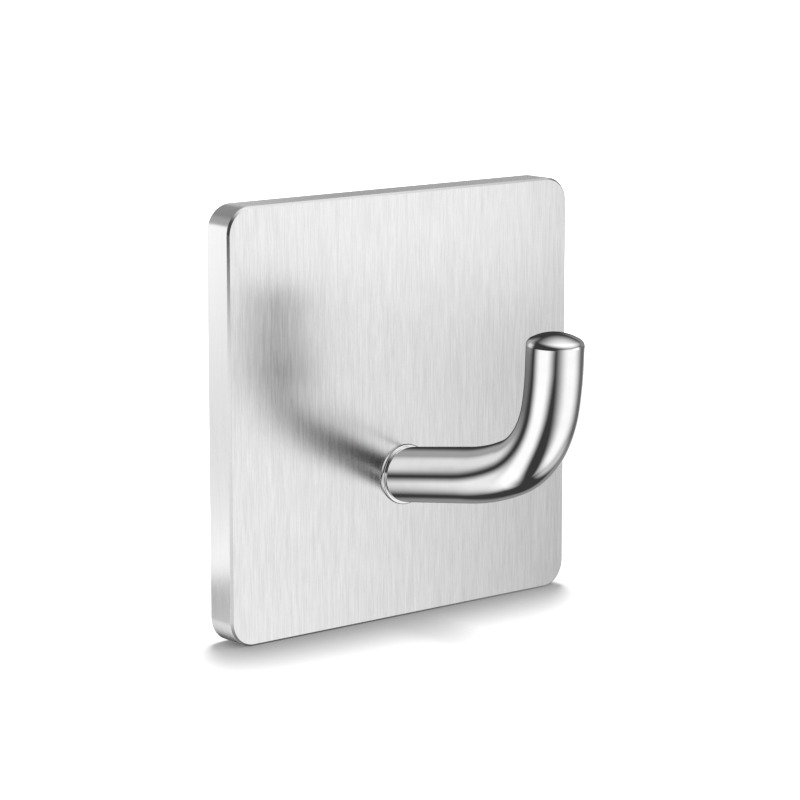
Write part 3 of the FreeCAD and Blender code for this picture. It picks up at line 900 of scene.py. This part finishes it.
def makeDome():
    # A sphere round the object that only reflections see, its points given by elevation and azimuth. After
    # a diffuse bounce it is dark.
    elevation = np.radians(np.linspace(-90, 90, studio["domeRings"]))[:, None]
    azimuth = ringAngles(studio["domeColumns"])
    directions = np.stack([np.cos(elevation) * np.cos(azimuth), np.cos(elevation) * np.sin(azimuth),
                           np.sin(elevation) + 0 * azimuth], -1)
    material = bpy.data.materials.new("studioDome")
    material.use_nodes = True
    tree = material.node_tree
    tree.nodes.clear()
    level = addNode(tree, "ShaderNodeAttribute", attribute_name="level").outputs["Fac"]
    diffuseDepth = addNode(tree, "ShaderNodeLightPath").outputs["Diffuse Depth"]
    direct = mathNode(tree, "LESS_THAN", diffuseDepth, 0.5)
    glow = addNode(tree, "ShaderNodeEmission", {"Strength": mathNode(tree, "MULTIPLY", level, direct)})
    addNode(tree, "ShaderNodeOutputMaterial", {"Surface": glow.outputs[0]})
    material.cycles.emission_sampling = "NONE"
    dome = gridPiece("studioDome", directions * studio["domeRadius"], [material])
    points = np.zeros(len(dome.data.vertices) * 3)
    dome.data.vertices.foreach_get("co", points)
    dome.location = [value * mm for value in studio["domePlace"]]
    attribute = dome.data.attributes.new("level", "FLOAT", "POINT")
    attribute.data.foreach_set("value", studioLevel(unit(points.reshape(-1, 3))).astype(np.float32))
    dome.visible_camera = dome.visible_diffuse = dome.visible_shadow = False


def seenDirectly(tree):
    # 1 for the camera and for what metal and glass show of the background, 0 where it only lights.
    path = addNode(tree, "ShaderNodeLightPath").outputs
    mirrored = mathNode(tree, "ADD", path["Is Glossy Ray"], path["Is Transmission Ray"])
    return mathNode(tree, "ADD", path["Is Camera Ray"], mirrored)


def newAreaLamp(name, form, size, place):
    # A flat lamp of the form, size and place, which still has to get its power and its turn.
    lamp = bpy.data.lights.new(name, "AREA")
    lamp.shape = form
    lamp.size, lamp.size_y = (value * mm for value in size)
    holder = newObject(name, lamp)
    holder.location = Vector(place) * mm
    return lamp, holder


def makeEdgeLamp(name, settings, receivers):
    # A flat lamp whose power is pi times its level and its area. It is linked to the plate, so that the bar
    # doesn't mirror it.
    lamp, holder = newAreaLamp(name, "RECTANGLE", settings["size"], settings["place"])
    lamp.energy = settings["level"] * math.pi * lamp.size * lamp.size_y
    aim = Vector(settings["towards"]) - Vector(settings["place"])
    holder.rotation_euler = aim.to_track_quat("-Z", "Y").to_euler()
    holder.light_linking.receiver_collection = receivers
    holder.visible_camera = False


def makeFloor():
    # A pale floor that clips to white, so that the object's shadow shows on it only near the plate's foot.
    # Its own white grows with the distance from the plate's foot, a line along X. This is painted light: it
    # is dim at the foot, a painted shade over the real shadow, and full farther out, where it paints the
    # shadows away.
    half = studio["floorSize"] / 2
    corners = [(x * half, y * half, plateLow[2]) for x, y in ((-1, -1), (1, -1), (1, 1), (-1, 1))]
    mesh = bpy.data.meshes.new("floor")
    mesh.from_pydata(np.array(corners) * mm, [], [(0, 1, 2, 3)])
    material, tree, shader = newMaterial("floor", {
        "Base Color": studio["floorColour"],
        "Roughness": 1.0,
        "Specular IOR Level": 0.0,
        "Emission Color": (1, 1, 1, 1),
    })
    place = addNode(tree, "ShaderNodeTexCoord").outputs["Object"]
    footMiddle = (0, (plateLow[1] + plateHigh[1]) / 2 * mm, plateLow[2] * mm)
    footHalf = ((plateHigh[0] - studio["footInset"]) * mm, 0, 0)
    across = vectorNode(tree, "ABSOLUTE", vectorNode(tree, "SUBTRACT", place, footMiddle))
    beyond = vectorNode(tree, "MAXIMUM", vectorNode(tree, "SUBTRACT", across, footHalf))
    distance = vectorNode(tree, "LENGTH", beyond)
    # Painted light: the floor's white is dim at the foot, a painted shade, and full beyond glowEnd.
    white = remap(tree, distance, studio["glowStart"] * mm, studio["glowEnd"] * mm, studio["footShadeGlow"], 1.0)
    glow = mathNode(tree, "MULTIPLY", seenDirectly(tree), white)
    tree.links.new(glow, shader.inputs["Emission Strength"])
    material.cycles.emission_sampling = "NONE"
    mesh.materials.append(material)
    floor = newObject("floor", mesh)
    floor.visible_glossy = False  # the dome's lower half stands for it in reflections


def makeWorld():
    # White where it is seen, plain ambient light where it only lights.
    world = bpy.data.worlds.new("studio")
    bpy.context.scene.world = world
    world.use_nodes = True
    world.cycles.sampling_method = "NONE"
    tree = world.node_tree
    seen = seenDirectly(tree)
    background = tree.nodes["Background"]
    background.inputs["Color"].default_value = (1, 1, 1, 1)
    tree.links.new(remap(tree, seen, 0, 1, studio["ambient"], 1.0), background.inputs["Strength"])


def makeLamp():
    # A soft overhead lamp a little behind the plate, so that the shadow falls in front. It faces the origin.
    lamp, holder = newAreaLamp("overhead", "ELLIPSE", studio["lampSize"], studio["lampPlace"])
    lamp.energy = studio["lampPower"]
    x, y, z = unit(np.array(studio["lampPlace"]))
    holder.rotation_euler = (math.atan2(math.hypot(x, y), z), 0, math.atan2(x, -y))
    holder.visible_glossy = False


makeDome()
edgeReceivers = bpy.data.collections.new("edgeLampReceivers")
edgeReceivers.objects.link(bpy.data.objects["facePlateSkin"])
for name, settings in edgeLamps.items():
    makeEdgeLamp(name, settings, edgeReceivers)
makeFloor()
makeWorld()
makeLamp()
print("studio made")


# Camera

view = {
    "place": (-203.3, -253.72, 60.6),
    "azimuth": 39.09,  # turned from +Y towards +X
    "pitch": 10.55,    # looking down
    "lens": 141.3,
    "sensor": 36.0,
    "clip": (0.01, 20.0),  # metres
}


def makeCamera():
    # A long lens without shift, at the photograph's viewing angle.
    camera = bpy.data.cameras.new("camera")
    camera.lens = view["lens"]
    camera.sensor_width = view["sensor"]
    camera.clip_start, camera.clip_end = view["clip"]
    holder = newObject("camera", camera)
    holder.location = [value * mm for value in view["place"]]
    holder.rotation_euler = (math.radians(90 - view["pitch"]), 0, math.radians(-view["azimuth"]))
    bpy.context.scene.camera = holder


makeCamera()
bpy.context.scene.view_settings.view_transform = "Standard"
print("camera made")
